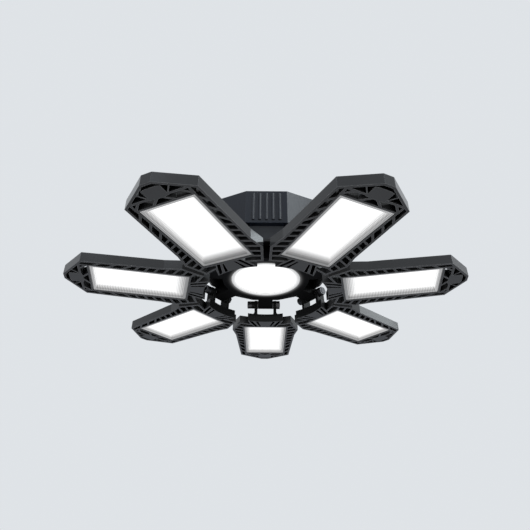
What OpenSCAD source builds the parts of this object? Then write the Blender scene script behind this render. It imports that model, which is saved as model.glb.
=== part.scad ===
// Screw-in ceiling light with seven hinged light leaves around a round lit centre.
// Origin: on the screw base's axis, at the lower edge of its first thread crest.
// +Z points up into the lamp socket. Leaf 1 lies along +Y, and the rest follow anticlockwise.

/* [Screw base] */
// Outside radius of the thread crests
thread_r = 13.1; // [13:0.05:13.2]
// Height from one thread crest to the next
thread_pitch = 3.63; // [3.55:0.01:3.7]
// Height of the insulating collar between the cover and the screw shell
collar_h = 9; // [8:0.5:11]

/* [Driver housing] */
// Distance from the axis to a fluted side
fluted_apothem = 73; // [72:0.5:75]
// Width of a fluted side
fluted_w = 38.5; // [37:0.5:40]
// Height of the housing
housing_h = 36.2; // [33:0.1:38]
// Ribs on each fluted side
flute_count = 5; // [3:1:5]
// Distance between ribs
flute_pitch = 6.1; // [5:0.1:6.4]
// Width of a rib
flute_w = 3; // [2:0.1:3.4]
// How far a rib stands out
flute_rise = 1.1; // [0.6:0.1:1.4]

/* [Hub] */
// Radius of the lit centre disc
disc_r = 35; // [33:0.5:36]
// Outside radius of the dark ring around the disc
ring_r = 44; // [43.6:0.1:44.6]
// Height of the lower body, from the ring to the housing
bowl_h = 20.6; // [20:0.1:22]
// Distance from the axis to a side of the lower body, at its top
bowl_apothem = 67.3; // [66.5:0.1:68]

/* [Leaf] */
// Radius of the leaf's far end when it lies flat
leaf_end_r = 190.6; // [189:0.2:193]
// Depth of the leaf's frame
leaf_depth = 9; // [8.6:0.1:9.4]
// How far the leaf's front edge lies below the disc when flat
leaf_drop = 19; // [18.8:0.1:19.2]
// Thickness of the leaf's outer wall
rim_t = 2; // [1.6:0.1:2.2]
// Thickness of the cross ribs
rib_t = 1.9; // [1.4:0.1:2.2]
// Distance between the steep ribs
rib_pitch = 8.4; // [8.2:0.1:8.6]
// Half width of the leaf's lens
lens_half_w = 24.2; // [23.8:0.1:24.4]

/* [Hinge] */
// Distance from the hub's axis to a hinge axis
hinge_r = 66; // [65.8:0.1:66.4]
// Height of the hinge axis above the disc
hinge_up = 3.5; // [3.2:0.1:3.8]
// Radius of the hinge bolt's shank
bolt_r = 2.5; // [2.4:0.05:2.5]
// Radial clearance of the shank in its bores
bolt_gap = 0.05; // [0.03:0.01:0.08]

/* [Hidden] */
$fn = 64;
leaf_count = 7;
eps = 0.01;
leaf_names = ["frame", "lens", "led_board", "board_screws", "hinge_bolt", "hinge_nut", "friction_washers"];
hub_names = ["screw_shell", "base_insulator", "centre_contact", "base_collar", "housing_cover",
             "driver_housing", "driver_board", "hub_body", "disc_lens", "disc_led_board", "hub_screws"];
function leaf_node(k, name) = str("leaf_", k, "_", name);

// Heights are counted from the disc's plane, and disc_z carries them into the part's frame.
bowl_top = bowl_h;
housing_top = bowl_top + housing_h;
cover_t = 2.3;
cover_drop = 0.2;
cover_top = housing_top - cover_drop;
shell_skirt = 2.4;
disc_z = -(cover_top + collar_h + shell_skirt);

// Angles around the axis
leaf_step = 360 / leaf_count;
first_leaf = 90;
half_step = leaf_step / 2;
sector_slope = tan(half_step);

// Colours
black_paint = [0.17, 0.17, 0.18];
dark_metal = [0.10, 0.10, 0.11];
steel = [0.55, 0.55, 0.57];
nickel = [0.78, 0.76, 0.70];
lit_white = [0.97, 0.97, 0.96];
board_white = [0.90, 0.90, 0.88];
board_green = [0.10, 0.35, 0.18];
glaze_black = [0.05, 0.05, 0.06];
washer_grey = [0.35, 0.35, 0.36];

// Screw base
crest_count = 5;
crest_w = 1.2;
root_depth = 0.75;
flank_h = 0.7;
shell_bore = thread_r - 1.65;
crest_end = (crest_count - 1) * thread_pitch + crest_w;
lip_r = 9.2;
lip_top = crest_end + 3.2;
spigot_h = 10;
wire_bore = 8.5;

// Housing
fluted_half_angle = atan(fluted_w / 2 / fluted_apothem);
housing_corner_r = norm([fluted_apothem, fluted_w / 2]);
housing_wall = 2.4;
housing_floor = 2.2;
floor_opening_r = 50;
flute_low = 3.3;
flute_high = 2.8;
boss_r = 3.6;
boss_at = 66.5;
cover_screw_r = 1.5;
vent_len = 16;
vent_w = 3;
vent_at = 40;

// Hub
disc_lens_low = 0.3;
disc_flange = 3.5;
disc_panel_z = 2.2;
disc_ledge_r = disc_r - 1.5;
seat_z = 5.4;
seat_t = 2.2;
board_t = 1.2;
bowl_wall = 3.6;
bowl_foot_r = ring_r - 0.4;
bowl_knee_r = 64;
bowl_knee_z = 8.8;
bowl_points = [[bowl_foot_r, 0], [bowl_knee_r, bowl_knee_z], [bowl_apothem, bowl_h]];
recess_out_r = 60.5;
recess_top = 14.5;
recess_roof = 2.5;
ring_t = 1.5;
barrel_r = 4.5;
lug_half_w = 8.1;
washer_t = 0.9;
play = 0.05;

// Leaf, seen from below: x runs outwards along the leaf, y across it
front_z = -leaf_drop;
back_z = front_z + leaf_depth;
neck_arc_r = 62;
neck_start = 57;
neck_half = 20.1;
neck_plate_half = 12.5;
notch_r = 69.3;
notch_half = 16.7;
shoulder_r = 65.3;
shoulder_half = 28.8;
wide_r = 85.8;
wide_half = 38;
waist_r = 102;
waist_half = 34.9;
tip_r = leaf_end_r - 17;
tip_half = 31.5;
end_half = 4.5;
lens_in = 78;
lens_out = 166.6;
lens_inset = 0.6;
lens_gap = 0.2;
flange_w = 2.65;
flange_t = 1.2;
pan_wall = 0.9;
panel_z = front_z + 4.5;
tray_in = 76.3;
tray_out = 168.3;
tray_half = lens_half_w + 1.6;
board_in = 79.9;
board_out = 164.7;
board_half = lens_half_w - 1.9;
board_pocket_gap = 0.3;
tray_floor_t = 0.9;
groove_depth = 0.5;
tray_floor_z = back_z - groove_depth - tray_floor_t;
fin_count = 9;
fin_t = 1.4;
leaf_half_outline = [
    [neck_start, neck_half], [notch_r, notch_half], [shoulder_r, shoulder_half],
    [wide_r, wide_half], [waist_r, waist_half], [tip_r, tip_half], [leaf_end_r, end_half]
];

// Hinge
ear_in = lug_half_w + washer_t + 2 * play;
ear_out = 12.4;
ear_r = 4.9;
gusset_start = 63;
gusset_len = 5.5;
outer_fillet = 4.1;
inner_fillet = 2.2;
head_boss_out = 15.6;
head_r = 4.25;
head_h = 5;
head_round = 0.9;
socket_w = 4;
nut_w = 8;
nut_h = 4;
washer_r = 4.4;

// LED chips and small screws
chip_w = 2.8;
chip_l = 3.5;
chip_h = 0.7;
leaf_chip_rows = 3;
leaf_chip_columns = 8;
small_screw_r = 1.2;
small_head_r = 2.3;
small_head_h = 0.9;

// --- helpers -------------------------------------------------------------

function unit(v) = v / norm(v);
function left_of(v) = [-v[1], v[0]];
function mirrored(points) = [for (i = [len(points) - 1:-1:0]) [points[i][0], -points[i][1]]];
function inset_corner(a, b, c, t) =
    let (n1 = left_of(unit(b - a)), n2 = left_of(unit(c - b)))
    b + t * (n1 + n2) / (1 + n1 * n2);
// An anticlockwise outline with every side moved inwards by t
function inset_outline(p, t) =
    [for (i = [0:len(p) - 1]) inset_corner(p[(i + len(p) - 1) % len(p)], p[i], p[(i + 1) % len(p)], t)];
function from_polar(r, a) = [r * cos(a), r * sin(a)];
function leaf_angle(k) = first_leaf + (k - 1) * leaf_step;
function between_angle(k) = leaf_angle(k) + half_step;
// The driver housing's fourteen corners, anticlockwise
function housing_outline() = [
    for (k = [1:leaf_count]) for (s = [-1, 1])
        from_polar(housing_corner_r, between_angle(k) + s * fluted_half_angle)
];
function leaf_outline() = concat([for (p = leaf_half_outline) [p[0], -p[1]]], mirrored(mirrored_half()));
function mirrored_half() = [for (p = leaf_half_outline) [p[0], -p[1]]];

// A straight bar of width t from p to q
module bar(p, q, t) {
    n = left_of(unit(q - p)) * t / 2;
    polygon([p - n, q - n, q + n, p + n]);
}

// The same thing on both sides of the leaf's centre line
module both_sides() {
    children();
    mirror([0, 1]) children();
}

module at_disc_plane() {
    translate([0, 0, disc_z]) children();
}

module at_leaf(k) {
    at_disc_plane() rotate([0, 0, leaf_angle(k)]) children();
}

// A cylinder along the hinge axis, from y = low to y = high
module across_hinge(r, low, high, sides = 64) {
    translate([hinge_r, high, hinge_up])
        rotate([90, 0, 0]) cylinder(r = r, h = high - low, $fn = sides);
}

// A profile drawn in the leaf's x-z plane and given thickness from y = low to y = high
module across_leaf(low, high) {
    translate([0, high, 0]) rotate([90, 0, 0]) linear_extrude(high - low) children();
}

// A pan-head screw whose head rests at z = 0 and points down, with its shank going up
module small_screw(shank) {
    translate([0, 0, -small_head_h]) cylinder(r = small_head_r, h = small_head_h);
    translate([0, 0, -eps]) cylinder(r = small_screw_r, h = shank + eps);
}

module led_chip() {
    translate([-chip_w / 2, -chip_l / 2, -chip_h]) cube([chip_w, chip_l, chip_h + eps]);
}

// --- screw base ----------------------------------------------------------

function crest_points(i) =
    let (z = i * thread_pitch, root = thread_r - root_depth)
    [[root, z - flank_h], [thread_r, z], [thread_r, z + crest_w], [root, z + crest_w + flank_h]];

module screw_shell() {
    outside = concat([[shell_bore + 1.1, -shell_skirt]], [for (i = [0:crest_count - 1]) each crest_points(i)]);
    lip = [[shell_bore - 0.3, lip_top - 0.8], [lip_r, lip_top], [lip_r, lip_top - 0.6],
           [shell_bore - 0.7, lip_top - 1.4], [shell_bore, crest_end + 0.4], [shell_bore, -shell_skirt]];
    color(nickel) rotate_extrude() polygon(concat(outside, lip));
}

module base_insulator() {
    disc_top = lip_top - 1.5;
    color(glaze_black) rotate_extrude() polygon([
        [1.55, disc_top - 1.1], [shell_bore - 1.2, disc_top - 1.1], [shell_bore - 1.2, disc_top],
        [lip_r - 0.1, disc_top], [lip_r - 0.1, lip_top + 0.3], [5.2, lip_top + 3.2], [1.55, lip_top + 3.2]
    ]);
}

module centre_contact() {
    foot = lip_top + 3.2;
    color(nickel) rotate_extrude() polygon([
        [0, foot - 6], [1.5, foot - 6], [1.5, foot], [4.7, foot], [4.5, foot + 0.9],
        [3.4, foot + 1.6], [1.8, foot + 2], [0, foot + 2.1]
    ]);
}

module base_collar() {
    foot = disc_z + cover_top;
    hook_r = 8.9;
    color(black_paint) rotate_extrude() polygon([
        [wire_bore - 2, foot - 4], [hook_r, foot - 4], [hook_r, foot], [18, foot], [18, foot + 2],
        [16.6, foot + 3], [14.6, -shell_skirt], [shell_bore - 0.1, -shell_skirt],
        [shell_bore - 0.1, spigot_h], [wire_bore, spigot_h], [wire_bore - 2, -shell_skirt]
    ]);
}

// --- driver housing ------------------------------------------------------

module on_fluted_side(k) {
    rotate([0, 0, between_angle(k)]) translate([fluted_apothem, 0, 0]) children();
}

// Rounded upright ribs, each an arc flute_w wide that stands flute_rise out of the side
module flutes() {
    low = bowl_top + flute_low;
    high = housing_top - flute_high;
    arc_r = (pow(flute_w / 2, 2) + pow(flute_rise, 2)) / (2 * flute_rise);
    for (i = [0:flute_count - 1]) {
        y = (i - (flute_count - 1) / 2) * flute_pitch;
        translate([flute_rise - arc_r, y, low]) cylinder(r = arc_r, h = high - low);
    }
}

module cover_screw_places() {
    for (k = [1:leaf_count]) rotate([0, 0, leaf_angle(k)]) translate([boss_at, 0, 0]) children();
}

module board_screw_places() {
    for (k = [1, 3, 5]) rotate([0, 0, between_angle(k)]) translate([53, 0, 0]) children();
}

module driver_housing() {
    color(black_paint) at_disc_plane() difference() {
        union() {
            difference() {
                translate([0, 0, bowl_top]) linear_extrude(housing_h) polygon(housing_outline());
                translate([0, 0, bowl_top + housing_floor])
                    linear_extrude(housing_h) polygon(inset_outline(housing_outline(), housing_wall));
            }
            cover_screw_places() translate([0, 0, bowl_top + eps])
                cylinder(r = boss_r, h = cover_top - cover_t - bowl_top - eps);
            for (k = [1:leaf_count]) on_fluted_side(k) flutes();
        }
        translate([0, 0, bowl_top - 1]) cylinder(r = floor_opening_r, h = housing_floor + 2);
        cover_screw_places() translate([0, 0, housing_top - 14]) cylinder(r = cover_screw_r + play, h = 20);
        board_screw_places() translate([0, 0, bowl_top - 1]) cylinder(r = small_screw_r + play, h = 5);
    }
}

module housing_cover() {
    color(black_paint) at_disc_plane() difference() {
        translate([0, 0, cover_top - cover_t])
            linear_extrude(cover_t) polygon(inset_outline(housing_outline(), housing_wall + 0.1));
        translate([0, 0, cover_top - 5]) cylinder(r = 9, h = 10);
        cover_screw_places() translate([0, 0, cover_top - 5]) cylinder(r = cover_screw_r + 0.15, h = 10);
        for (i = [0:2 * leaf_count - 1]) rotate([0, 0, first_leaf + i * half_step])
            translate([vent_at - vent_len / 2, -vent_w / 2, cover_top - 5]) cube([vent_len, vent_w, 10]);
    }
}

module driver_board() {
    top = bowl_top + housing_floor + 1.6;
    color(board_green) at_disc_plane() {
        difference() {
            translate([0, 0, top - 1.6]) cylinder(r = 56, h = 1.6);
            board_screw_places() translate([0, 0, top - 4]) cylinder(r = small_screw_r + 0.15, h = 8);
        }
        // Transformer, filter coil and rectifier
        translate([-14, -34, top - eps]) cube([28, 22, 19]);
        translate([16, 6, top - eps]) cube([16, 14, 13]);
        translate([-34, 10, top - eps]) cube([12, 8, 5]);
        // Capacitors
        for (x = [-8, 5]) translate([x, 24, top - eps]) cylinder(r = 5.5, h = 20);
        translate([-36, -8, top - eps]) cylinder(r = 5, h = 14);
    }
}

// --- hub -----------------------------------------------------------------

// Fourteen steep facets over fourteen flatter ones, cut along the lines between bowl_points
module bowl_side_cuts() {
    for (j = [1, 2]) {
        rise = bowl_points[j] - bowl_points[j - 1];
        for (i = [0:2 * leaf_count - 1]) rotate([0, 0, first_leaf + i * half_step])
            translate([bowl_points[j][0], 0, bowl_points[j][1]]) rotate([0, atan(rise[0] / rise[1]), 0])
                translate([0, -50, -60]) cube([60, 100, 90]);
    }
}

// The deep ring-shaped recess between the disc's pod and the outer skirt
module hub_recess() {
    translate([0, 0, -1]) difference() {
        cylinder(r = recess_out_r, h = recess_top + 1);
        cylinder(r = ring_r, h = recess_top + 2);
    }
}

// The space inside the pod and above the recess, open at the top
module bowl_cavity(low) {
    pod_r = ring_r - bowl_wall;
    upper = recess_top + recess_roof;
    translate([0, 0, low]) cylinder(r = pod_r, h = bowl_h - low + eps);
    translate([0, 0, upper]) cylinder(r = recess_out_r + 1, h = bowl_h - upper + eps);
}

module hinge_lug() {
    difference() {
        union() {
            across_leaf(-lug_half_w, lug_half_w) polygon([
                [ring_r - 0.5, 0.6], [hinge_r, hinge_up - barrel_r], [hinge_r, hinge_up + barrel_r],
                [recess_out_r + 1, bowl_knee_z + 0.5], [recess_out_r + 1, recess_top + 0.5],
                [ring_r - 0.5, recess_top + 0.5]
            ]);
            across_hinge(barrel_r, -lug_half_w, lug_half_w);
        }
        across_hinge(bolt_r + bolt_gap, -lug_half_w - 1, lug_half_w + 1);
    }
}

module disc_screw_places() {
    for (k = [1, 3, 5]) rotate([0, 0, leaf_angle(k)]) translate([27, 0, 0]) children();
}

module hub_body() {
    cavity_low = seat_z + seat_t;
    color(black_paint) at_disc_plane() {
        difference() {
            union() {
                difference() {
                    cylinder(r = bowl_apothem + 3, h = bowl_h);
                    bowl_side_cuts();
                }
                cylinder(r = ring_r, h = ring_t);
            }
            hub_recess();
            translate([0, 0, -1]) cylinder(r = disc_r + lens_gap, h = disc_lens_low + flange_t + 1);
            cylinder(r = disc_ledge_r, h = seat_z);
            bowl_cavity(cavity_low);
            disc_screw_places() cylinder(r = small_screw_r + play, h = cavity_low + 1);
            // Way through for the wires
            cylinder(r = 5, h = cavity_low + 1);
        }
        for (k = [1:leaf_count]) rotate([0, 0, leaf_angle(k)]) hinge_lug();
    }
}

// A flange on the hub's ledge, and a panel set deeper inside it
module disc_lens() {
    panel_r = disc_r - disc_flange;
    pan_h = disc_panel_z + pan_wall - disc_lens_low;
    color(lit_white) at_disc_plane() difference() {
        translate([0, 0, disc_lens_low]) {
            cylinder(r = disc_r, h = flange_t);
            cylinder(r = panel_r + pan_wall, h = pan_h);
        }
        translate([0, 0, -1]) cylinder(r = panel_r, h = disc_panel_z + 1);
    }
}

module disc_led_board() {
    color(board_white) at_disc_plane() {
        difference() {
            translate([0, 0, seat_z - board_t]) cylinder(r = disc_ledge_r - 0.3, h = board_t);
            disc_screw_places() cylinder(r = small_screw_r + 0.15, h = 10);
        }
        for (ring = [[6, 9], [12, 18]]) for (i = [0:ring[0] - 1])
            rotate([0, 0, (i + 0.5) * 360 / ring[0]]) translate([ring[1], 0, seat_z - board_t]) led_chip();
    }
}

module hub_screws() {
    color(steel) at_disc_plane() {
        disc_screw_places() translate([0, 0, seat_z - board_t]) small_screw(board_t + seat_t - 0.2);
        board_screw_places() translate([0, 0, bowl_top + housing_floor + 1.6])
            mirror([0, 0, 1]) small_screw(1.6 + housing_floor - 0.2);
        cover_screw_places() {
            translate([0, 0, cover_top - 9]) cylinder(r = cover_screw_r, h = 9 + eps);
            translate([0, 0, cover_top]) cylinder(r = 2.9, h = 1.8);
        }
    }
}

// --- leaf ----------------------------------------------------------------

// Ribs square to the line between two leaves, then long slanted ones towards the tip
module side_ribs() {
    for (i = [0:6]) {
        x = tray_in + i * rib_pitch;
        bar([x + sector_slope, tray_half - 1], [x - 15 * sector_slope, tray_half + 15], rib_t);
    }
    slant = 1.235;
    for (i = [0:2]) {
        x = 138.5 + i * 12.5;
        bar([x, tray_half - 0.5], [x - 11 * slant, tray_half + 10.5], rib_t);
    }
}

// Truss at the far end: a solid patch on the centre line with struts around it
module tip_struts() {
    post_x = leaf_end_r - 15.1;
    patch_out = leaf_end_r - 5;
    bar([post_x, 0], [post_x, tip_half + 6], rib_t);
    bar([tray_out - 0.5, 9.6], [post_x, 0.4], rib_t);
    bar([tray_out - 0.5, tray_half], [post_x, 17.6], rib_t);
    bar([tray_out - 0.5, tray_half - 0.8], [post_x, tray_half - 0.8], rib_t);
    bar([post_x, 8], [post_x + 11, 17.2], rib_t / 2);
    polygon([[post_x - 2.2, 0], [post_x - 1.6, 8.3], [patch_out - 0.9, 8.3], [patch_out, 5], [patch_out, 0]]);
}

// The leaf's outline drawn in by t, with its neck end an arc around the hub
module leaf_face(t) {
    difference() {
        polygon(inset_outline(leaf_outline(), t));
        circle(r = neck_arc_r + t, $fn = 128);
    }
}

module leaf_plate() {
    difference() {
        leaf_face(0);
        leaf_face(rim_t);
    }
    intersection() {
        leaf_face(rim_t / 2);
        union() {
            translate([tray_in, -tray_half]) square([tray_out - tray_in, 2 * tray_half]);
            polygon([[neck_start, -neck_half], [tray_in + 1, -neck_plate_half],
                     [tray_in + 1, neck_plate_half], [neck_start, neck_half]]);
            both_sides() side_ribs();
            both_sides() tip_struts();
        }
    }
}

// Narrow fanned slots in the neck's front face
module neck_slots() {
    depth = 6;
    wall = 0.7;
    translate([0, 0, front_z - 1]) linear_extrude(depth + 1) difference() {
        both_sides() {
            polygon([[60, 8.3], [75.4, 4.8], [75.4, 6.6], [60, 11.7]]);
            polygon([[60, 14.9], [76.2, 8.2], [76.2, 11.8], [60, 18.1]]);
        }
        circle(r = neck_arc_r + wall, $fn = 128);
    }
}

// A quarter-round fillet of radius r that fills the corner at the origin towards +x and +y
module fillet(r) {
    difference() {
        translate([-0.5, -0.5]) square(r + 0.5);
        translate([r, r]) circle(r = r);
    }
}

module hinge_ears() {
    for (y = [ear_in, -ear_out]) {
        across_leaf(y, y + ear_out - ear_in) polygon([
            [neck_arc_r, back_z - 2], [hinge_r + ear_r + 1.2, back_z - 2],
            [hinge_r + ear_r, hinge_up], [hinge_r - ear_r, hinge_up]
        ]);
        across_hinge(ear_r, y, y + ear_out - ear_in);
    }
    both_sides() translate([gusset_start, 0, 0]) rotate([90, 0, 90]) linear_extrude(gusset_len) {
        translate([ear_out, back_z]) fillet(outer_fillet);
        translate([ear_in, back_z]) mirror([1, 0]) fillet(inner_fillet);
    }
    across_hinge(head_r + 0.05, ear_out - 0.5, head_boss_out);
}

module board_screw_spots() {
    for (x = [board_in + 3.4, board_out - 3.4]) for (y = [-1, 1])
        translate([x, y * (board_half - 3), 0]) children();
}

// A box centred across the leaf, from low to high along x and z
module leaf_box(x_low, x_high, half, z_low, z_high) {
    translate([x_low, -half, z_low]) cube([x_high - x_low, 2 * half, z_high - z_low]);
}

module leaf_frame(k) {
    ledge_z = front_z + lens_inset + flange_t;
    gap = board_pocket_gap;
    fin_pitch = (board_out - board_in) / (fin_count + 1);
    color(black_paint) at_leaf(k) {
        difference() {
            union() {
                translate([0, 0, front_z]) linear_extrude(leaf_depth) leaf_plate();
                hinge_ears();
            }
            leaf_box(lens_in - lens_gap, lens_out + lens_gap, lens_half_w + lens_gap, front_z - 1, ledge_z);
            leaf_box(board_in - gap, board_out + gap, board_half + gap, ledge_z - 1, tray_floor_z);
            difference() {
                leaf_box(board_in - gap, board_out + gap, board_half + gap,
                         tray_floor_z + tray_floor_t, back_z + 1);
                for (i = [1:fin_count])
                    leaf_box(board_in + i * fin_pitch - fin_t / 2, board_in + i * fin_pitch + fin_t / 2,
                             board_half + 1, tray_floor_z, back_z + 2);
            }
            neck_slots();
            across_hinge(bolt_r + bolt_gap, -ear_out - 1, head_boss_out + 1);
            board_screw_spots() translate([0, 0, tray_floor_z - 1])
                cylinder(r = small_screw_r + play, h = tray_floor_t + 2);
        }
    }
}

// A flange on the frame's ledge, and a panel set deeper inside it
module leaf_lens(k) {
    low = front_z + lens_inset;
    wall_in = flange_w - pan_wall;
    color(lit_white) at_leaf(k) difference() {
        union() {
            leaf_box(lens_in, lens_out, lens_half_w, low, low + flange_t);
            leaf_box(lens_in + wall_in, lens_out - wall_in, lens_half_w - wall_in, low, panel_z + pan_wall);
        }
        leaf_box(lens_in + flange_w, lens_out - flange_w, lens_half_w - flange_w, low - 1, panel_z);
    }
}

module leaf_led_board(k) {
    x_step = (board_out - board_in) / (leaf_chip_columns + 0.5);
    y_step = 2 * board_half / leaf_chip_rows;
    front = tray_floor_z - board_t;
    color(board_white) at_leaf(k) {
        difference() {
            leaf_box(board_in, board_out, board_half, front, tray_floor_z);
            board_screw_spots() translate([0, 0, front - 1])
                cylinder(r = small_screw_r + 0.15, h = board_t + 2);
        }
        for (i = [0:leaf_chip_columns - 1]) for (j = [0:leaf_chip_rows - 1])
            translate([board_in + (i + 0.75) * x_step, (j - (leaf_chip_rows - 1) / 2) * y_step * 0.9, front])
                led_chip();
    }
}

module leaf_board_screws(k) {
    color(steel) at_leaf(k) board_screw_spots() translate([0, 0, tray_floor_z - board_t])
        small_screw(board_t + tray_floor_t - 0.2);
}

// A cap head with a rounded edge, standing on the plane z = 0
module bolt_head() {
    rotate_extrude() {
        square([head_r - head_round, head_h]);
        square([head_r, head_h - head_round]);
        translate([head_r - head_round, head_h - head_round]) intersection() {
            circle(r = head_round);
            square(head_round);
        }
    }
}

module leaf_hinge_bolt(k) {
    color(dark_metal) at_leaf(k) difference() {
        union() {
            across_hinge(bolt_r, -ear_out - nut_h - 0.3, head_boss_out + 0.1);
            translate([hinge_r, head_boss_out, hinge_up]) rotate([-90, 0, 0]) bolt_head();
        }
        across_hinge(socket_w / sqrt(3), head_boss_out + 2.2, head_boss_out + head_h + 1, 6);
    }
}

module leaf_hinge_nut(k) {
    color(dark_metal) at_leaf(k) difference() {
        across_hinge(nut_w / sqrt(3), -ear_out - nut_h, -ear_out, 6);
        across_hinge(bolt_r + bolt_gap, -ear_out - nut_h - 1, -ear_out + 1);
    }
}

module leaf_friction_washers(k) {
    low = lug_half_w + play;
    color(washer_grey) at_leaf(k) for (y = [low, -low - washer_t]) difference() {
        across_hinge(washer_r, y, y + washer_t);
        across_hinge(bolt_r + 0.1, y - 1, y + washer_t + 1);
    }
}

// --- the whole light -----------------------------------------------------

screw_shell();
base_insulator();
centre_contact();
base_collar();
housing_cover();
driver_housing();
driver_board();
hub_body();
disc_lens();
disc_led_board();
hub_screws();
for (k = [1:leaf_count]) {
    leaf_frame(k);
    leaf_lens(k);
    leaf_led_board(k);
    leaf_board_screws(k);
    leaf_hinge_bolt(k);
    leaf_hinge_nut(k);
    leaf_friction_washers(k);
}
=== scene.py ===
"""Looks of the seven-leaf ceiling light: finishes, lit lenses, stage, lamps and camera."""
import math

import bmesh
import bpy
from mathutils import Matrix, Vector

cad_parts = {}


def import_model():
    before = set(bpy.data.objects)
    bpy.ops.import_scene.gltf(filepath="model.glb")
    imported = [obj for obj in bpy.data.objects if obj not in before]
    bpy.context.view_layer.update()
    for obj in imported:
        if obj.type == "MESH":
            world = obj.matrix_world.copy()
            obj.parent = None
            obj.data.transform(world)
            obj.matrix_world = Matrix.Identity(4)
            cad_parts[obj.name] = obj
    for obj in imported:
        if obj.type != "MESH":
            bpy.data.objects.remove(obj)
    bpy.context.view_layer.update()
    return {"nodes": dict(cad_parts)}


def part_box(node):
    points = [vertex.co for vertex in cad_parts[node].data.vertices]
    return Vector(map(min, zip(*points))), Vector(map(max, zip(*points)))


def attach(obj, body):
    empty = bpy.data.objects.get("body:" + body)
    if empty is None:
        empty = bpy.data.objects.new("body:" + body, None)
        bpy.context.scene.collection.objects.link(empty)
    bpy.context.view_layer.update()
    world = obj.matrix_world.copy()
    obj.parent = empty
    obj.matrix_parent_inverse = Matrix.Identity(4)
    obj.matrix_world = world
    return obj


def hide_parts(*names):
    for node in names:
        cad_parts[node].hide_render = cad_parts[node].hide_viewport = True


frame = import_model()
nodes = frame["nodes"]

# --- driving dimensions, in metres and degrees -----------------------------------

LEAF_COUNT = 7
LEAF_STEP = 360 / LEAF_COUNT
FIRST_LEAF = 90.0

# The lenses' fronts, and the level of the hub's ring, which stands just proud of its lens
LEAF_FRONT_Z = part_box("leaf_1_lens")[0].z
DISC_FRONT_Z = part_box("disc_lens")[0].z
RING_PROUD = 0.0003
DISC_Z = DISC_FRONT_Z - RING_PROUD
DISC_CENTRE = Vector((0, 0, DISC_Z))

# Both kinds of lens: a flange with small lips around a panel that is set deeper
LENS_RIM, LENS_LIP, PANEL_SKIN = 0.0012, 0.0003, 0.0008
PRISM, PRISM_RISE = 0.0015, 0.00022
WELD = 1e-6

# The leaf lens, along its leaf from the hub's axis and to each side of its middle
LENS_IN, LENS_OUT, LENS_HALF = 0.078, 0.1666, 0.0242
LENS_FLANGE, LENS_DEPTH = 0.00265, 0.0039
LENS_CORNER, PANEL_CORNER, CORNER_STEPS = 0.0006, 0.0012, 4
PANEL_IN, PANEL_OUT = LENS_IN + LENS_FLANGE, LENS_OUT - LENS_FLANGE
PANEL_HALF = LENS_HALF - LENS_FLANGE

# The disc lens
DISC_R, DISC_FLANGE, DISC_DEPTH = 0.035, 0.0035, 0.0019
DISC_PANEL_R = DISC_R - DISC_FLANGE
DISC_SIDES = 128

# The photograph's viewpoint: measured from the disc's centre
CAMERA_FROM_DISC = Vector((-0.00235, -0.4052, -0.2175))
CAMERA_PITCH, CAMERA_YAW, CAMERA_ROLL = 30.217, 0.205, 0.274
CAMERA_LENS, CAMERA_SENSOR = 30.53, 36.0
CAMERA_NEAR, CAMERA_FAR = 0.01, 50


def leaf_angle(k):
    """The direction of leaf k, from +X."""
    return FIRST_LEAF + (k - 1) * LEAF_STEP


# --- material helpers --------------------------------------------------------------

BEVEL_SAMPLES, OPENNESS_SAMPLES = 4, 8


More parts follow.
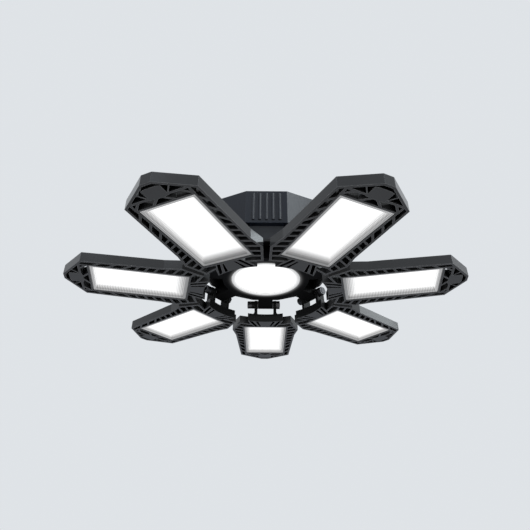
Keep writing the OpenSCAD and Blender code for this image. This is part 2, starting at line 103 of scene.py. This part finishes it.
class Graph:
    """A short way to add and join shader nodes in one material."""

    def __init__(self, name):
        self.material = bpy.data.materials.new(name)
        self.material.use_nodes = True
        self.tree = self.material.node_tree
        self.shader = self.tree.nodes["Principled BSDF"]

    def add(self, kind, **settings):
        made = self.tree.nodes.new(kind)
        for key, value in settings.items():
            setattr(made, key, value)
        return made

    def join(self, source, target):
        self.tree.links.new(source, target)

    def feed(self, source, name):
        """Joins a value to an input of the shader."""
        self.join(source, self.shader.inputs[name])

    def fix(self, **values):
        """Sets inputs of the shader that are the same all over the surface."""
        for name, value in values.items():
            self.shader.inputs[name.replace("_", " ")].default_value = value

    def math(self, operation, a, b=None, clamp=False):
        made = self.add("ShaderNodeMath", operation=operation, use_clamp=clamp)
        for socket, value in zip(made.inputs, (a, b)):
            if value is None:
                continue
            if isinstance(value, (int, float)):
                socket.default_value = value
            else:
                self.join(value, socket)
        return made.outputs[0]

    def coords(self, turn=0.0):
        """Object coordinates turned by some degrees about Z, so that x runs along a leaf."""
        place = self.add("ShaderNodeTexCoord")
        turned = self.add("ShaderNodeMapping", vector_type="POINT")
        turned.inputs["Rotation"].default_value = (0, 0, math.radians(turn))
        self.join(place.outputs["Object"], turned.inputs["Vector"])
        return turned.outputs["Vector"]

    def split(self, coords):
        """The x, y and z of some coordinates."""
        made = self.add("ShaderNodeSeparateXYZ")
        self.join(coords, made.inputs[0])
        return tuple(made.outputs)

    def from_axis(self, x, y):
        """The distance from the Z axis."""
        flat = self.add("ShaderNodeCombineXYZ")
        self.join(x, flat.inputs[0])
        self.join(y, flat.inputs[1])
        length = self.add("ShaderNodeVectorMath", operation="LENGTH")
        self.join(flat.outputs[0], length.inputs[0])
        return length.outputs["Value"]

    def noise(self, coords, scale, detail):
        made = self.add("ShaderNodeTexNoise")
        made.inputs["Scale"].default_value = scale
        made.inputs["Detail"].default_value = detail
        self.join(coords, made.inputs["Vector"])
        return made.outputs["Fac"]

    def ramp(self, value, stops):
        """A colour ramp. Each stop is a place and a grey level or a colour."""
        made = self.add("ShaderNodeValToRGB")
        ends = made.color_ramp.elements
        while len(ends) < len(stops):
            ends.new(0.5)
        for element, (at, level) in zip(ends, stops):
            colour = level if isinstance(level, tuple) else (level, level, level)
            element.position = at
            element.color = (*colour, 1)
        self.join(value, made.inputs["Fac"])
        return made.outputs["Color"]

    def mix(self, factor, a, b):
        """A blend from a to b, each a colour or a socket."""
        made = self.add("ShaderNodeMix", data_type="RGBA")
        self.join(factor, made.inputs[0])
        for socket, value in ((made.inputs[6], a), (made.inputs[7], b)):
            if isinstance(value, tuple):
                socket.default_value = (*value, 1)
            else:
                self.join(value, socket)
        return made.outputs[2]

    def multiply(self, a, b):
        made = self.add("ShaderNodeMix", data_type="RGBA", blend_type="MULTIPLY")
        made.inputs[0].default_value = 1.0
        self.join(a, made.inputs[6])
        self.join(b, made.inputs[7])
        return made.outputs[2]

    def bump(self, height, strength, distance, under=None):
        """Fine relief on the surface, over another normal if one is given."""
        made = self.add("ShaderNodeBump")
        made.inputs["Strength"].default_value = strength
        made.inputs["Distance"].default_value = distance
        self.join(height, made.inputs["Height"])
        if under is not None:
            self.join(under, made.inputs["Normal"])
        self.feed(made.outputs["Normal"], "Normal")

    def rounded(self, radius):
        """The surface's normal with its sharp edges rounded."""
        made = self.add("ShaderNodeBevel", samples=BEVEL_SAMPLES)
        made.inputs["Radius"].default_value = radius
        return made.outputs["Normal"]

    def openness(self, distance):
        """1 on open faces and towards 0 deep in pockets and corners."""
        made = self.add("ShaderNodeAmbientOcclusion", samples=OPENNESS_SAMPLES, only_local=True)
        made.inputs["Distance"].default_value = distance
        return made.outputs["AO"]

    def edge_mask(self, radius):
        """Above 0 close to sharp edges and 0 elsewhere."""
        flat = self.add("ShaderNodeNewGeometry")
        dot = self.add("ShaderNodeVectorMath", operation="DOT_PRODUCT")
        self.join(self.rounded(radius), dot.inputs[0])
        self.join(flat.outputs["Normal"], dot.inputs[1])
        return self.math("SUBTRACT", 1.0, dot.outputs["Value"], clamp=True)

    def shade(self, where, share):
        """Paints shade: cuts paint and shine to a share of their level where the mask is 1."""
        paint = self.shader.inputs["Base Color"].links[0].from_socket
        cut = self.ramp(where, [(0.0, 1.0), (1.0, share)])
        self.feed(self.multiply(paint, cut), "Base Color")
        level = self.shader.inputs["Specular IOR Level"].default_value
        self.feed(self.ramp(where, [(0.0, level), (1.0, level * share)]), "Specular IOR Level")


# Noises, each a scale and a detail: four on powder coat, and one on metal, plastic and lens
MOTTLE, RUB, GLOSS, PEEL = (55.0, 4.0), (240.0, 2.0), (900.0, 3.0), (2600.0, 2.0)
MARKS, SPOTS, SMOOTH_SPOTS, DIFFUSER = (1800.0, 3.0), (1400.0, 2.0), (60.0, 2.0), (700.0, 2.0)

# Relief, a strength and a height, and the share of its colour where paint is darkest
PEEL_RELIEF, MARK_RELIEF, SPOT_RELIEF = (0.12, 0.00003), (0.12, 0.00004), (0.2, 0.00006)
COAT_DARKEST, MARK_DARKEST, SPOT_DARKEST = 0.85, 0.8, 0.85

# How far roughness strays below and above its level as the noise runs between two values
COAT_STRAYS, METAL_STRAYS, PLASTIC_STRAYS = (0.04, 0.06), (0.06, 0.08), (0.05, 0.05)
NOISE_LOW, NOISE_HIGH = 0.3, 0.7
LEAST_ROUGHNESS = 0.05

# Powder coat's edges rubbed lighter as wear and painted highlight, its painted shade in
# pockets, and rounded corners
EDGE_RADIUS, EDGE_STOPS = 0.0006, [(0.03, 0.0), (0.22, 1.0)]
RUB_STOPS = [(NOISE_LOW, 0.35), (NOISE_HIGH, 1.0)]
POCKET_PAINTED_SHADE = (0.0015, 0.0015, 0.0016)
CORNER_RADIUS = 0.0003


def darker(colour, share):
    return tuple(c * share for c in colour)


def gloss_stops(roughness, strays):
    """Roughness that varies with a noise, around a given level."""
    less, more = strays
    return [(NOISE_LOW, max(roughness - less, LEAST_ROUGHNESS)), (NOISE_HIGH, roughness + more)]


def powder_coat(name, colour, wear_and_highlight, roughness, specular, pocket, open_from, open_at):
    """Satin powder coat on a casting: orange peel, faint mottling, and edges lighter from wear
    and painted highlight.

    Openness is felt over the distance pocket: the paint is darkened to near black as painted
    shade in pockets where it is below open_from, and has its own colour where it is above
    open_at.
    """
    g = Graph(name)
    coords = g.coords()
    base = g.mix(g.noise(coords, *MOTTLE), darker(colour, COAT_DARKEST), colour)
    # Edges rubbed lighter: partly wear, partly a painted highlight along the edges
    edges = g.ramp(g.edge_mask(EDGE_RADIUS), EDGE_STOPS)
    rub_and_highlight = g.math("MULTIPLY", edges, g.ramp(g.noise(coords, *RUB), RUB_STOPS))
    # Painted shade: the paint goes to near black in pockets and corners
    free_of_painted_shade = g.ramp(g.openness(pocket), [(open_from, 0.0), (open_at, 1.0)])
    g.feed(g.mix(free_of_painted_shade, POCKET_PAINTED_SHADE, g.mix(rub_and_highlight, base, wear_and_highlight)), "Base Color")
    gloss = g.noise(coords, *GLOSS)
    g.feed(g.ramp(gloss, gloss_stops(roughness, COAT_STRAYS)), "Roughness")
    g.fix(Specular_IOR_Level=specular)
    g.bump(g.noise(coords, *PEEL), *PEEL_RELIEF, g.rounded(CORNER_RADIUS))
    return g


def plain_metal(name, colour, roughness, metallic=1.0):
    """Turned or plated metal with fine marks."""
    g = Graph(name)
    marks = g.noise(g.coords(), *MARKS)
    g.feed(g.mix(marks, darker(colour, MARK_DARKEST), colour), "Base Color")
    g.fix(Metallic=metallic)
    g.feed(g.ramp(marks, gloss_stops(roughness, METAL_STRAYS)), "Roughness")
    g.bump(marks, *MARK_RELIEF)
    return g.material


def plastic(name, colour, roughness, texture=SPOTS):
    """Moulded plastic with a fine spark texture, or another noise if one is given."""
    g = Graph(name)
    spots = g.noise(g.coords(), *texture)
    g.feed(g.mix(spots, darker(colour, SPOT_DARKEST), colour), "Base Color")
    g.feed(g.ramp(spots, gloss_stops(roughness, PLASTIC_STRAYS)), "Roughness")
    g.bump(spots, *SPOT_RELIEF)
    return g.material


# --- finishes ------------------------------------------------------------------------

# The disc's glow painted on the ring around it as emission, and painted shade in the recess
# under the lugs
SPILL_LEVEL, SPILL_REACH, SPILL_FALL = 0.19, 0.010, 7.0
RING_DEPTH = 0.001
RECESS_R, RECESS_SHADE, LUG_TOP = 0.0604, 0.12, 0.0078

# The ears start above the leaf's back, and the neck's end wall lies within a radius; both get
# painted shade
EAR_FOOT, NECK_WALL_R, EAR_SHADE = -0.0095, 0.0623, 0.30


def lit_by_disc(g):
    """Painted shade over the recess and ring around the lit disc, with the disc's glow painted
    on the ring as emission.
    """
    x, y, z = g.split(g.coords())
    radius = g.from_axis(x, y)
    away = g.math("DIVIDE", g.math("SUBTRACT", radius, DISC_R), SPILL_REACH, clamp=True)
    ring = g.math("LESS_THAN", z, DISC_Z + RING_DEPTH)
    fall = g.math("POWER", g.math("SUBTRACT", 1.0, away), SPILL_FALL)
    spill = g.ramp(g.math("MULTIPLY", fall, ring), [(0.0, 0.0), (1.0, SPILL_LEVEL)])
    # Painted light: the disc's glow laid on the ring as emission
    g.feed(spill, "Emission Color")
    g.fix(Emission_Strength=1.0)
    low_down = g.math("LESS_THAN", z, DISC_Z + LUG_TOP)
    # Painted shade over the recess, the lugs and the ring below the lug tops
    g.shade(g.math("MAXIMUM", g.math("LESS_THAN", radius, RECESS_R), low_down), RECESS_SHADE)


def painted_shade_on_ears(g):
    """Painted shade on the hinge ears and on the neck's end wall, both measured when flat."""
    x, y, z = g.split(g.coords())
    ears = g.math("GREATER_THAN", z, DISC_Z + EAR_FOOT)
    neck = g.math("LESS_THAN", g.from_axis(x, y), NECK_WALL_R)
    g.shade(g.math("MAXIMUM", ears, neck), EAR_SHADE)


leaf_finish = powder_coat(
    "leaf_powder_coat", colour=(0.038, 0.038, 0.038), wear_and_highlight=(0.24, 0.24, 0.24),
    roughness=0.11, specular=0.18, pocket=0.008, open_from=0.35, open_at=0.8)
painted_shade_on_ears(leaf_finish)
hub_finish = powder_coat(
    "hub_powder_coat", colour=(0.040, 0.040, 0.041), wear_and_highlight=(0.12, 0.12, 0.125),
    roughness=0.34, specular=0.16, pocket=0.014, open_from=0.35, open_at=0.8)
lit_by_disc(hub_finish)
housing_finish = powder_coat(
    "housing_powder_coat", colour=(0.008, 0.011, 0.018), wear_and_highlight=(0.09, 0.11, 0.15),
    roughness=0.20, specular=0.32, pocket=0.0025, open_from=0.6, open_at=0.97)

leaf_paint = leaf_finish.material
hub_paint = hub_finish.material
housing_paint = housing_finish.material
black_oxide = plain_metal("black_oxide_steel", (0.045, 0.045, 0.048), 0.38, 0.8)
zinc = plain_metal("zinc_plated_steel", (0.55, 0.55, 0.57), 0.32)
nickel = plain_metal("nickel_plated_brass", (0.72, 0.69, 0.62), 0.2)
nylon = plastic("washer_nylon", (0.10, 0.10, 0.105), 0.55)
collar_plastic = plastic("collar_plastic", (0.03, 0.03, 0.032), 0.5)
base_glass = plastic("base_black_glass", (0.008, 0.008, 0.01), 0.12, SMOOTH_SPOTS)
solder_white = plastic("solder_mask_white", (0.82, 0.82, 0.79), 0.35)
solder_green = plastic("solder_mask_green", (0.02, 0.13, 0.05), 0.35)

# --- lit lenses ------------------------------------------------------------------------

# Reach of the fade at each border of a panel, and the level that it starts from
FADE_NECK, FADE_END, FADE_SIDE, FADE_DISC = 0.0105, 0.006, 0.0085, 0.0075
END_START, SIDE_START = 0.6, 0.35

# The prisms' tips gather more light than the valleys between them
DOT_MIDDLE, LEAF_DOTS, DISC_DOTS = 0.4, 0.9, 0.45

# Brightness from a panel's border to its middle, and from a lens's front to its panel
PANEL_GLOW = [(0.0, 0.25), (0.2, 0.36), (0.35, 0.52), (0.5, 0.70), (0.75, 0.88), (1.0, 1.0)]
WALL_GLOW = [(0.0, 0.55), (0.10, 0.55), (0.14, 0.25), (0.9, 0.86), (1.0, 1.0)]
DISC_GLOW = [(0.0, (0.42, 0.425, 0.43)), (0.13, (0.54, 0.545, 0.55)), (0.4, 0.76),
             (0.67, 0.91), (1.0, 1.0)]
DISC_WALL_GLOW = [(0.0, 0.92), (0.5, 0.95), (1.0, 1.0)]

# The frosted plastic: its faint grain, its glow, and its own grey, roughness and shine
DIFFUSER_STOPS = [(0.35, 0.96), (0.65, 1.0)]
LENS_GLOW, LENS_GREY, LENS_ROUGHNESS, LENS_SHINE = 1.12, 0.10, 0.4, 0.3


def lit_plastic(name, glow, turn):
    """Frosted diffuser lit from behind. glow(g, x, y, z) gives its brightness."""
    g = Graph(name)
    coords = g.coords(turn)
    grain = g.ramp(g.noise(coords, *DIFFUSER), DIFFUSER_STOPS)
    g.feed(g.multiply(glow(g, *g.split(coords)), grain), "Emission Color")
    g.fix(Emission_Strength=LENS_GLOW, Base_Color=(LENS_GREY, LENS_GREY, LENS_GREY, 1),
          Roughness=LENS_ROUGHNESS, Specular_IOR_Level=LENS_SHINE)
    return g.material


def dots(g, share, *ways):
    """A grid of fine dots: below 0 between the prisms and above 0 at their tips."""
    heights = []
    for way in ways:
        half_prisms = g.math("PINGPONG", g.math("DIVIDE", way, PRISM), 0.5)
        heights.append(g.math("MULTIPLY", half_prisms, 2.0))
    height = g.math("MINIMUM", *heights)
    return g.math("MULTIPLY", g.math("SUBTRACT", height, DOT_MIDDLE), share)


def wall_share(g, z, front, depth, stops):
    """The brightness that goes with a depth in the lens."""
    return g.ramp(g.math("DIVIDE", g.math("SUBTRACT", z, front), depth, clamp=True), stops)


def leaf_glow(g, x, y, z):
    """Even over the chips, fading towards the neck most, and dimmer on walls and flange."""
    from_neck = g.math("SUBTRACT", x, PANEL_IN)
    from_end = g.math("SUBTRACT", PANEL_OUT, x)
    from_side = g.math("SUBTRACT", PANEL_HALF, g.math("ABSOLUTE", y))
    neck = g.math("DIVIDE", from_neck, FADE_NECK)
    end = g.math("ADD", g.math("DIVIDE", from_end, FADE_END), END_START)
    side = g.math("ADD", g.math("DIVIDE", from_side, FADE_SIDE), SIDE_START)
    near = g.math("MINIMUM", g.math("MINIMUM", neck, end), side)
    dotted = g.math("ADD", near, dots(g, LEAF_DOTS, from_neck, y), clamp=True)
    walls = wall_share(g, z, LEAF_FRONT_Z, LENS_DEPTH, WALL_GLOW)
    return g.multiply(g.ramp(dotted, PANEL_GLOW), walls)


def disc_glow(g, x, y, z):
    """Even in the middle and fading towards the round border."""
    inside = g.math("DIVIDE", g.math("SUBTRACT", DISC_R, g.from_axis(x, y)), FADE_DISC)
    dotted = g.math("ADD", inside, dots(g, DISC_DOTS, x, y), clamp=True)
    walls = wall_share(g, z, DISC_FRONT_Z, DISC_DEPTH, DISC_WALL_GLOW)
    return g.multiply(g.ramp(dotted, DISC_GLOW), walls)


def ring_faces(rings, count):
    """Faces between closed rings of count points each, every ring joined to the next."""
    faces = []
    for here in range(0, (rings - 1) * count, count):
        there = here + count
        for i in range(count):
            after = (i + 1) % count
            faces.append((here + i, here + after, there + after, there + i))
    return faces


def rounded_box(x_low, x_high, half, corner, z):
    """A ring of points around a rectangle with rounded corners."""
    middle = ((x_high - corner, half - corner, 0), (x_low + corner, half - corner, 90),
              (x_low + corner, corner - half, 180), (x_high - corner, corner - half, 270))
    points = []
    for x, y, start in middle:
        for i in range(CORNER_STEPS + 1):
            angle = math.radians(start + 90 * i / CORNER_STEPS)
            points.append((x + corner * math.cos(angle), y + corner * math.sin(angle), z))
    return points


def circle(radius, z):
    """A ring of points around the hub's axis."""
    turns = [2 * math.pi * i / DISC_SIDES for i in range(DISC_SIDES)]
    return [(radius * math.cos(a), radius * math.sin(a), z) for a in turns]


def prism_grid(x_low, x_high, y_low, y_high, level, radius=None):
    """A face of square pyramids that point out of the panel, trimmed to a radius if given."""
    columns = round((x_high - x_low) / PRISM)
    rows = round((y_high - y_low) / PRISM)
    dx, dy = (x_high - x_low) / columns, (y_high - y_low) / rows
    points, faces = [], []
    for i in range(columns):
        for j in range(rows):
            x, y = x_low + i * dx, y_low + j * dy
            tip = (x + dx / 2, y + dy / 2, level - PRISM_RISE)
            cell = [(x, y, level), (x + dx, y, level), (x + dx, y + dy, level),
                    (x, y + dy, level), tip]
            if radius:
                if math.hypot(*tip[:2]) > radius:
                    continue
                cell = [pulled_in(point, radius) for point in cell]
            first = len(points)
            points += cell
            faces += [(first + a, first + (a + 1) % 4, first + 4) for a in range(4)]
    return points, faces


def pulled_in(point, radius):
    """A point moved towards the axis until it is within a radius."""
    reach = math.hypot(*point[:2])
    if not reach:
        return point
    share = min(1, radius / reach)
    return (point[0] * share, point[1] * share, point[2])


def lens_piece(name, rings, grid, material, turn=0.0):
    """A lens from closed rings that run from its rim to its panel's back, and its prisms."""
    count = len(rings[0])
    points = [point for ring in rings for point in ring]
    faces = ring_faces(len(rings), count)
    faces.append(tuple((len(rings) - 1) * count + i for i in range(count)))
    grid_points, grid_faces = grid
    base = len(points)
    points += grid_points
    faces += [tuple(base + i for i in face) for face in grid_faces]

    mesh = bpy.data.meshes.new(name)
    around = Matrix.Rotation(math.radians(turn), 4, "Z")
    mesh.from_pydata([around @ Vector(point) for point in points], [], faces)
    mesh.materials.append(material)
    piece = bpy.data.objects.new(name, mesh)
    bpy.context.scene.collection.objects.link(piece)
    welded = bmesh.new()
    welded.from_mesh(mesh)
    bmesh.ops.remove_doubles(welded, verts=welded.verts, dist=WELD)
    bmesh.ops.recalc_face_normals(welded, faces=welded.faces)
    welded.to_mesh(mesh)
    welded.free()
    return piece


def leaf_lens_piece(k, material):
    """Flange, walls and prism panel of one leaf's lens."""
    front = LEAF_FRONT_Z
    panel = front + LENS_DEPTH
    outside = (LENS_IN, LENS_OUT, LENS_HALF, LENS_CORNER)
    chamfer = (LENS_IN + LENS_LIP, LENS_OUT - LENS_LIP, LENS_HALF - LENS_LIP, LENS_CORNER)
    lip = (PANEL_IN - LENS_LIP, PANEL_OUT + LENS_LIP, PANEL_HALF + LENS_LIP, PANEL_CORNER)
    inside = (PANEL_IN, PANEL_OUT, PANEL_HALF, PANEL_CORNER)
    rings = [rounded_box(*outside, front + LENS_RIM), rounded_box(*outside, front + LENS_LIP),
             rounded_box(*chamfer, front), rounded_box(*lip, front),
             rounded_box(*inside, front + LENS_LIP), rounded_box(*inside, panel),
             rounded_box(*inside, panel + PANEL_SKIN)]
    grid = prism_grid(PANEL_IN, PANEL_OUT, -PANEL_HALF, PANEL_HALF, panel)
    piece = lens_piece(f"leaf_{k}_prism_lens", rings, grid, material, leaf_angle(k))
    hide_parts(f"leaf_{k}_lens")
    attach(piece, f"leaf_{k}")


def disc_lens_piece(material):
    """Flange, wall and prism panel of the round lens."""
    front = DISC_FRONT_Z
    panel = front + DISC_DEPTH
    inner = DISC_PANEL_R
    rings = [circle(DISC_R, front + LENS_RIM), circle(DISC_R, front + LENS_LIP),
             circle(DISC_R - LENS_LIP, front), circle(inner + LENS_LIP, front),
             circle(inner, front + LENS_LIP), circle(inner, panel),
             circle(inner, panel + PANEL_SKIN)]
    grid = prism_grid(-inner, inner, -inner, inner, panel, inner)
    piece = lens_piece("disc_prism_lens", rings, grid, material)
    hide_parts("disc_lens")
    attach(piece, "hub")


# --- the hub and the leaves --------------------------------------------------------------


def give(name, material):
    """Dresses a CAD node in a material."""
    node = nodes[name]
    node.data.materials.clear()
    node.data.materials.append(material)


HUB_MATERIALS = {
    "hub_body": hub_paint,
    "driver_housing": housing_paint,
    "housing_cover": housing_paint,
    "base_collar": collar_plastic,
    "screw_shell": nickel,
    "base_insulator": base_glass,
    "centre_contact": nickel,
    "driver_board": solder_green,
    "disc_led_board": solder_white,
    "hub_screws": zinc,
}
LEAF_MATERIALS = {
    "frame": leaf_paint,
    "led_board": solder_white,
    "board_screws": zinc,
    "hinge_bolt": black_oxide,
    "hinge_nut": black_oxide,
    "friction_washers": nylon,
}

for name, material in HUB_MATERIALS.items():
    give(name, material)
disc_lens_piece(lit_plastic("disc_lens_lit", disc_glow, 0.0))
for k in range(1, LEAF_COUNT + 1):
    for name, material in LEAF_MATERIALS.items():
        give(f"leaf_{k}_{name}", material)
    leaf_lens_piece(k, lit_plastic(f"leaf_{k}_lens_lit", leaf_glow, -leaf_angle(k)))

# --- stage, lamps and camera ---------------------------------------------------------------

FLOOR_HALF, FLOOR_Z = 40.0, -1.25
FLOOR_GREY, FLOOR_ROUGHNESS = 0.80, 0.9
BACKDROP, AMBIENT = (0.74, 0.77, 0.80), (0.45, 0.48, 0.55)

# Azimuth from +X, elevation, distance, size, power and colour
LAMPS = {
    "key_right": (-6, 20, 1.4, (0.90, 0.62), 8.4, (0.90, 0.97, 1.0)),
    "key_small": (12, 31, 1.4, (0.20, 0.20), 0.9, (0.86, 0.95, 1.0)),
    "key_front": (-52, 38, 1.4, (0.8, 0.5), 5.5, (0.90, 0.97, 1.0)),
    "fill_left": (-115, 36, 1.6, (0.9, 0.5), 1.6, (0.80, 0.90, 1.0)),
    "fill_below": (-90, -60, 0.9, (1.2, 1.2), 5, (1.0, 0.97, 0.91)),
    "fill_front": (265, 2, 1.8, (1.6, 0.5), 4, (0.72, 0.86, 1.0)),
}


def floor():
    """A wide pale floor, far below the hanging light."""
    half, level = FLOOR_HALF, FLOOR_Z
    mesh = bpy.data.meshes.new("floor")
    corners = [(-half, -half, level), (half, -half, level), (half, half, level),
               (-half, half, level)]
    mesh.from_pydata(corners, [], [(0, 1, 2, 3)])
    plane = bpy.data.objects.new("floor", mesh)
    bpy.context.scene.collection.objects.link(plane)
    g = Graph("floor_pale")
    g.fix(Base_Color=(FLOOR_GREY, FLOOR_GREY, FLOOR_GREY, 1), Roughness=FLOOR_ROUGHNESS)
    mesh.materials.append(g.material)


def world():
    """A pale backdrop for camera, glossy and transmission rays, and an even ambient light."""
    made = bpy.data.worlds.new("studio")
    bpy.context.scene.world = made
    made.use_nodes = True
    tree = made.node_tree
    tree.nodes.clear()

    def background(colour):
        node = tree.nodes.new("ShaderNodeBackground")
        node.inputs["Color"].default_value = (*colour, 1)
        return node.outputs[0]

    def either(a, b):
        node = tree.nodes.new("ShaderNodeMath")
        node.operation = "MAXIMUM"
        tree.links.new(a, node.inputs[0])
        tree.links.new(b, node.inputs[1])
        return node.outputs[0]

    rays = tree.nodes.new("ShaderNodeLightPath").outputs
    sharp = either(rays["Is Camera Ray"], rays["Is Glossy Ray"])
    mixed = tree.nodes.new("ShaderNodeMixShader")
    tree.links.new(either(sharp, rays["Is Transmission Ray"]), mixed.inputs["Fac"])
    tree.links.new(background(AMBIENT), mixed.inputs[1])
    tree.links.new(background(BACKDROP), mixed.inputs[2])
    out = tree.nodes.new("ShaderNodeOutputWorld")
    tree.links.new(mixed.outputs[0], out.inputs["Surface"])


def soft_box(name, azimuth, elevation, distance, size, power, colour):
    """A rectangular lamp aimed at the disc's centre."""
    data = bpy.data.lights.new(name, "AREA")
    data.shape = "RECTANGLE"
    data.size, data.size_y = size
    data.energy = power
    data.color = colour
    lamp = bpy.data.objects.new(name, data)
    a, e = math.radians(azimuth), math.radians(elevation)
    way = Vector((math.cos(a) * math.cos(e), math.sin(a) * math.cos(e), math.sin(e)))
    lamp.location = DISC_CENTRE + way * distance
    lamp.rotation_mode = "QUATERNION"
    lamp.rotation_quaternion = way.to_track_quat("Z", "Y")
    bpy.context.scene.collection.objects.link(lamp)


def photo_camera():
    """A pinhole camera at the photograph's viewpoint."""
    data = bpy.data.cameras.new("photo_camera")
    data.lens, data.sensor_width = CAMERA_LENS, CAMERA_SENSOR
    data.clip_start, data.clip_end = CAMERA_NEAR, CAMERA_FAR
    camera = bpy.data.objects.new("photo_camera", data)
    pitch, yaw, roll = (math.radians(a) for a in (CAMERA_PITCH, CAMERA_YAW, CAMERA_ROLL))
    ahead = Vector((math.sin(yaw) * math.cos(pitch), math.cos(yaw) * math.cos(pitch),
                    math.sin(pitch)))
    level = Vector((math.cos(yaw), -math.sin(yaw), 0))
    above = level.cross(ahead)
    right = level * math.cos(roll) + above * math.sin(roll)
    up = above * math.cos(roll) - level * math.sin(roll)
    turn = Matrix((right, up, -ahead)).transposed().to_4x4()
    camera.matrix_world = Matrix.Translation(DISC_CENTRE + CAMERA_FROM_DISC) @ turn
    bpy.context.scene.collection.objects.link(camera)
    bpy.context.scene.camera = camera


floor()
world()
for name, settings in LAMPS.items():
    soft_box(name, *settings)
photo_camera()
bpy.context.scene.view_settings.view_transform = "Standard"
